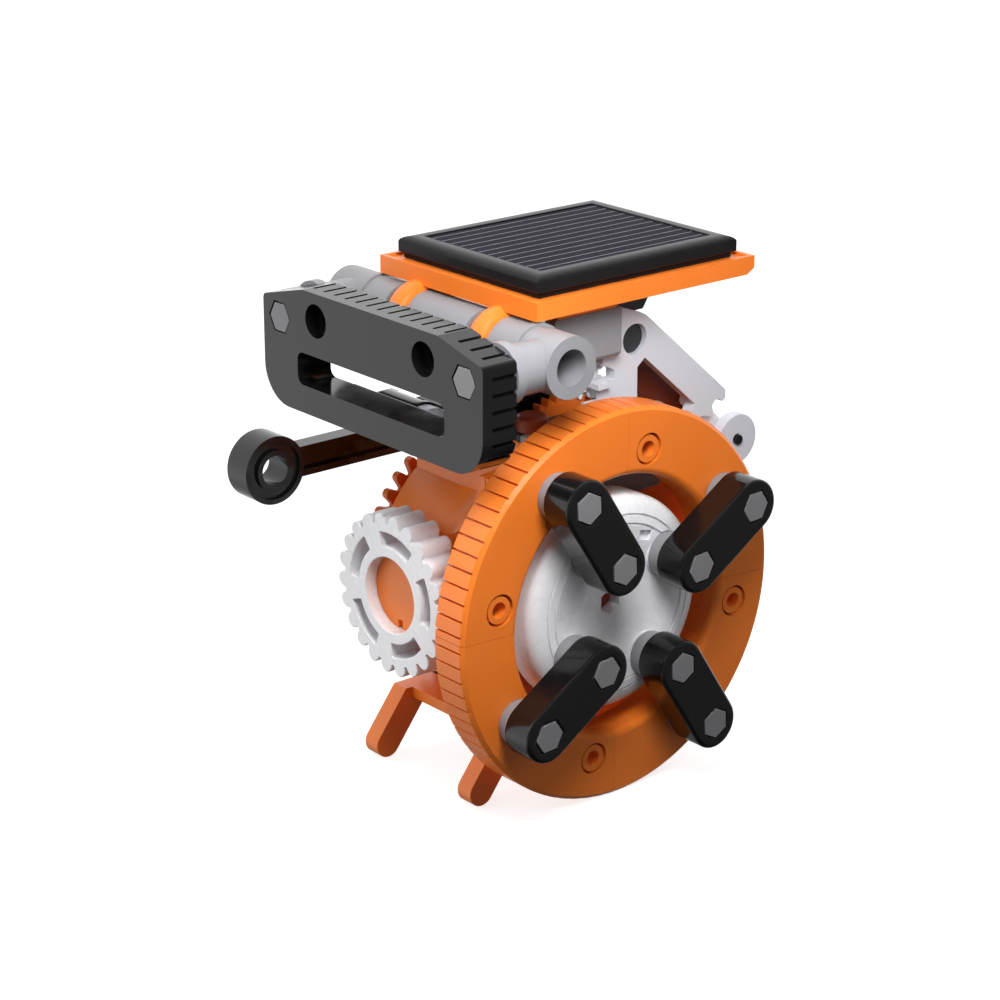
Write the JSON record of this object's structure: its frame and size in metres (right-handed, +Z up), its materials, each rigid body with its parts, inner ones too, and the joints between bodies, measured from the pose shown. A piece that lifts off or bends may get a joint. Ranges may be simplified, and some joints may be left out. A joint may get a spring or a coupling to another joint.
{
  "type": "solar robot kit",
  "caption": "Solar-powered toy robot: geared drum body on legs, large link wheel, ribbed bumper, swing arm and a tilting solar panel head.",
  "frame": {"origin": "on the ground, under the middle of the overall box", "axes": "+X along the wheel axle towards the large wheel, -Y towards the bumper, +Z up"},
  "size_m": [0.0832, 0.1128, 0.1203],
  "materials": {
    "orange": "gloss",
    "orange_dark": "gloss",
    "black": "high gloss",
    "grey": "satin",
    "charcoal": "satin",
    "light_grey": "gloss",
    "white": "gloss",
    "peg": "satin",
    "steel": "brushed",
    "motor": "satin",
    "cell": "gloss over fine lines"
  },
  "bodies": {
    "chassis": {"drum_shell": "orange", "drum_cover": "orange", "shaft_bushes": "white", "cover_screws": "steel", "foot_frame": "orange", "gearbox_box": "orange", "side_plate": "grey", "top_deck": "charcoal", "panel_rest": "charcoal", "motor_can": "motor", "motor_strap": "black", "top_peg": "orange_dark", "idler_pin": "steel", "rear_block": "orange", "arm_pin": "steel", "strut_web": "orange_dark", "a_frame": "light_grey", "hip_peg": "peg", "hip_block": "grey", "tail_link": "white", "tail_pin": "black", "neck_posts": "grey", "neck_tube": "grey", "bumper": "black", "bumper_pegs": "peg", "cross_bar": "black", "cross_barrel": "black", "barrel_cap": "light_grey", "nose_boss": "orange"},
    "wheel": {"output_shaft": "orange_dark", "output_gear": "white", "sprocket": "orange_dark", "hub": "white", "quarter_1": "orange", "quarter_2": "orange", "quarter_3": "orange", "quarter_4": "orange", "link_1": "black", "link_2": "black", "link_3": "black", "link_4": "black", "link_pegs": "peg", "link_collars": "grey"},
    "idler": {"idler_gear": "orange_dark"},
    "rotor": {"rotor_shaft": "steel", "rotor_pinion": "white"},
    "front_gear": {"nose_gear": "white"},
    "arm": {"swing_arm": "black"},
    "head": {"tray": "orange", "bezel": "black", "solar_cell": "cell"},
    "tail": {"tail_disc": "light_grey"}
  },
  "joints": [
    {"name": "wheel_spin", "type": "hinge", "parent": "chassis", "child": "wheel", "pos_m": [-0.003, 0.00015, 0.045], "axis": [1, 0, 0], "continuous": true},
    {"name": "idler_spin", "type": "hinge", "parent": "chassis", "child": "idler", "pos_m": [0.005, -0.00009, 0.073], "axis": [1, 0, 0], "continuous": true},
    {"name": "rotor_spin", "type": "hinge", "parent": "chassis", "child": "rotor", "pos_m": [-0.003, 0.00615, 0.092], "axis": [1, 0, 0], "continuous": true},
    {"name": "front_gear_spin", "type": "hinge", "parent": "chassis", "child": "front_gear", "pos_m": [-0.0037, -0.03385, 0.0466], "axis": [0, -1, 0], "continuous": true},
    {"name": "tail_disc_spin", "type": "hinge", "parent": "chassis", "child": "tail", "pos_m": [0.0129, 0.05035, 0.0689], "axis": [1, 0, 0], "continuous": true},
    {"name": "arm_swing", "type": "hinge", "parent": "chassis", "child": "arm", "pos_m": [-0.03435, 0.02215, 0.0709], "axis": [1, 0, 0], "range_deg": [-4, 55]},
    {"name": "panel_tilt", "type": "hinge", "parent": "chassis", "child": "head", "pos_m": [0.006, -0.01935, 0.1042], "axis": [1, 0, 0], "range_deg": [0, 55]}
  ],
  "couplings": [
    {"joint": "idler_spin", "follows": "wheel_spin", "ratio": -4.8333},
    {"joint": "rotor_spin", "follows": "wheel_spin", "ratio": 15.306}
  ]
}
